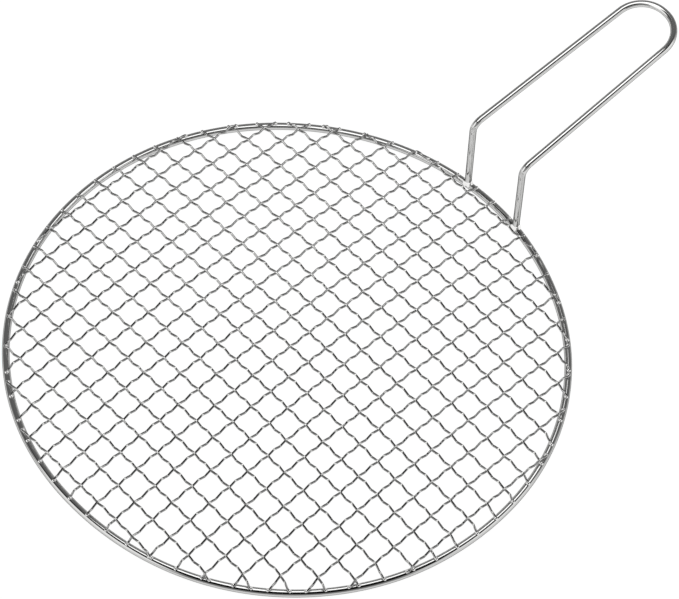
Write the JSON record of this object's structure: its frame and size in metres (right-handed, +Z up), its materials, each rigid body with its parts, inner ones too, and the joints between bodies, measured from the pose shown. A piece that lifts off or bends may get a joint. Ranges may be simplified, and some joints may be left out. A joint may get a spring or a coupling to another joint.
{
  "type": "round grill net with handle",
  "caption": "Round domed grill net of crimped woven steel wires welded on a rod rim, with a raised bent-rod loop handle at one side.",
  "frame": {"origin": "middle of the whole object's outline, on the plane that the rim stands on", "axes": "+X from the net towards the far end of the handle, +Z up out of the net's crowned side"},
  "size_m": [0.4147, 0.3, 0.0832],
  "materials": {
    "net_steel": "bright polished stainless wire",
    "rim_steel": "bright polished stainless rod",
    "handle_steel": "bright polished stainless rod"
  },
  "bodies": {
    "root": {"cross_wire_01": "net_steel", "cross_wire_02": "net_steel", "cross_wire_03": "net_steel", "cross_wire_04": "net_steel", "cross_wire_05": "net_steel", "cross_wire_06": "net_steel", "cross_wire_07": "net_steel", "cross_wire_08": "net_steel", "cross_wire_09": "net_steel", "cross_wire_10": "net_steel", "cross_wire_11": "net_steel", "cross_wire_12": "net_steel", "cross_wire_13": "net_steel", "cross_wire_14": "net_steel", "cross_wire_15": "net_steel", "cross_wire_16": "net_steel", "cross_wire_17": "net_steel", "cross_wire_18": "net_steel", "cross_wire_19": "net_steel", "cross_wire_20": "net_steel", "cross_wire_21": "net_steel", "cross_wire_22": "net_steel", "handle": "handle_steel", "long_wire_01": "net_steel", "long_wire_02": "net_steel", "long_wire_03": "net_steel", "long_wire_04": "net_steel", "long_wire_05": "net_steel", "long_wire_06": "net_steel", "long_wire_07": "net_steel", "long_wire_08": "net_steel", "long_wire_09": "net_steel", "long_wire_10": "net_steel", "long_wire_11": "net_steel", "long_wire_12": "net_steel", "long_wire_13": "net_steel", "long_wire_14": "net_steel", "long_wire_15": "net_steel", "long_wire_16": "net_steel", "long_wire_17": "net_steel", "long_wire_18": "net_steel", "long_wire_19": "net_steel", "long_wire_20": "net_steel", "long_wire_21": "net_steel", "long_wire_22": "net_steel", "rim_ring": "rim_steel"}
  },
  "joints": []
}
